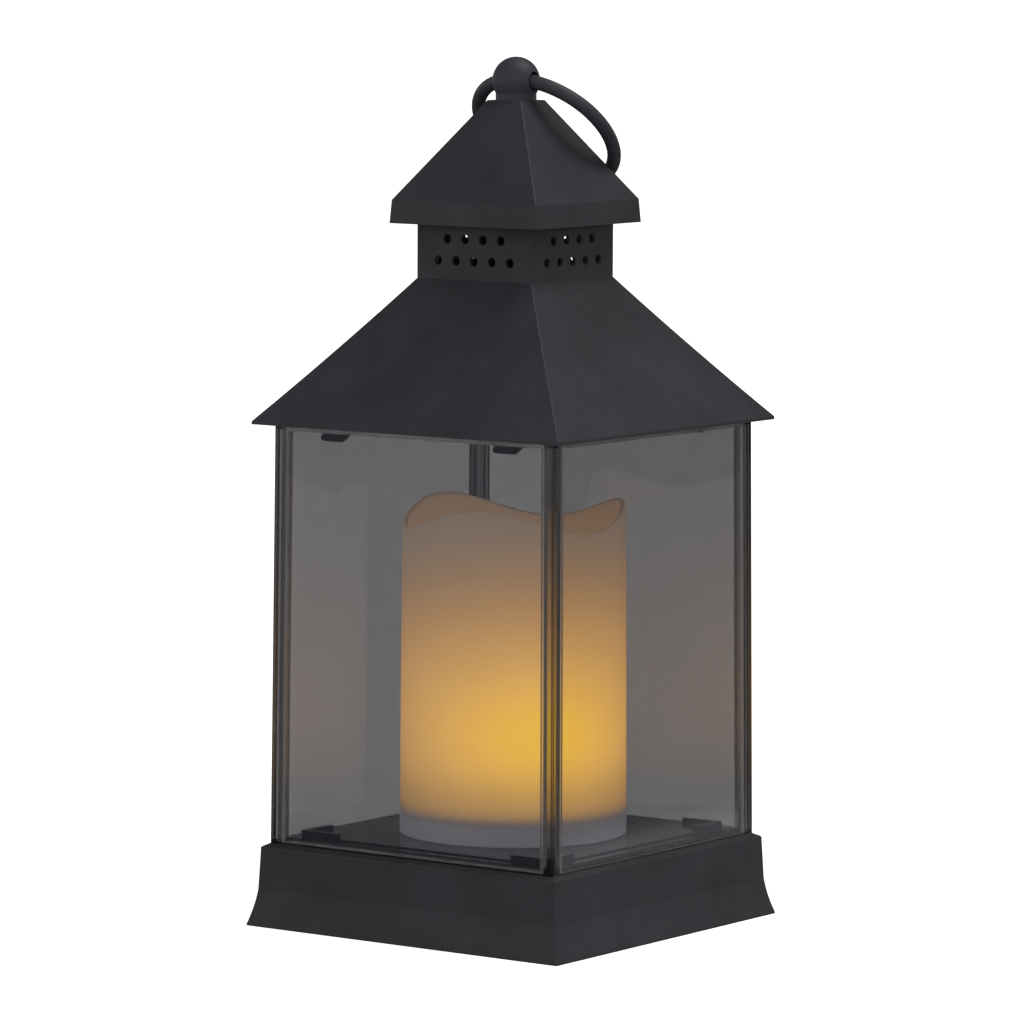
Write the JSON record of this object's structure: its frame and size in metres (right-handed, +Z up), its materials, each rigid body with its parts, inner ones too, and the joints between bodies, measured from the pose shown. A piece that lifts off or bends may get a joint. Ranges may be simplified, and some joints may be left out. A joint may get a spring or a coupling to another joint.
{
  "type": "candle lantern",
  "caption": "Square tabletop lantern with tinted windows, pyramid roof, pierced collar, ring handle and a wavy-topped battery candle inside.",
  "frame": {"origin": "centre of the base's footprint, on the surface that the lantern stands on", "axes": "+Z up through the finial; the front window faces -Y and the right window +X; the ring handle leans towards +Y and swings about X"},
  "size_m": [0.105, 0.105, 0.2384],
  "materials": {
    "body_plastic": "fine-textured satin charcoal",
    "frame_plastic": "smoke-tinted clear plastic, thick moulding",
    "window_plastic": "smoke-tinted clear plastic sheet",
    "candle_plastic": "translucent wax-like satin",
    "candle_base_plastic": "moulded satin",
    "cover_plastic": "moulded satin",
    "screw_steel": "zinc-plated",
    "contact_nickel": "nickel-plated",
    "cell_jacket": "printed sleeve, plain",
    "circuit_board": "solder mask",
    "component_body": "moulded epoxy",
    "switch_plastic": "moulded satin",
    "wire_insulation": "PVC insulation",
    "holder_plastic": "moulded satin",
    "led_lens": "diffused amber epoxy"
  },
  "bodies": {
    "root": {"base_shell": "body_plastic", "roof": "body_plastic", "vent_collar": "body_plastic", "cap": "body_plastic", "finial": "body_plastic", "window_cage": "frame_plastic", "window_pane_front": "window_plastic", "window_pane_right": "window_plastic", "window_pane_back": "window_plastic", "window_pane_left": "window_plastic", "candle_shell": "candle_plastic", "candle_base": "candle_base_plastic", "bottom_cover": "cover_plastic", "bottom_cover_screws": "screw_steel", "candle_screws": "screw_steel", "driver_board_screws": "screw_steel", "battery_springs": "contact_nickel", "battery_contacts": "contact_nickel", "aaa_cells": "cell_jacket", "driver_board": "circuit_board", "driver_board_parts": "component_body", "slide_switch_body": "component_body", "battery_wires": "wire_insulation", "switch_wires": "wire_insulation", "led_wires": "wire_insulation", "led_holder": "holder_plastic", "amber_led": "led_lens"},
    "ring": {"ring_handle": "body_plastic"},
    "door": {"battery_door": "cover_plastic"},
    "knob": {"slide_switch_knob": "switch_plastic"}
  },
  "joints": [
    {"name": "ring_swing", "type": "hinge", "parent": "root", "child": "ring", "pos_m": [0, 0, 0.2318], "axis": [1, 0, 0], "range_deg": [-3, 273]},
    {"name": "battery_door_tip", "type": "hinge", "parent": "root", "child": "door", "pos_m": [-0.02545, -0.009, 0.001], "axis": [0, 1, 0], "range_deg": [0, 60]},
    {"name": "switch_slide", "type": "slide", "parent": "root", "child": "knob", "axis": [1, 0, 0], "range_m": [0, 0.003]}
  ]
}
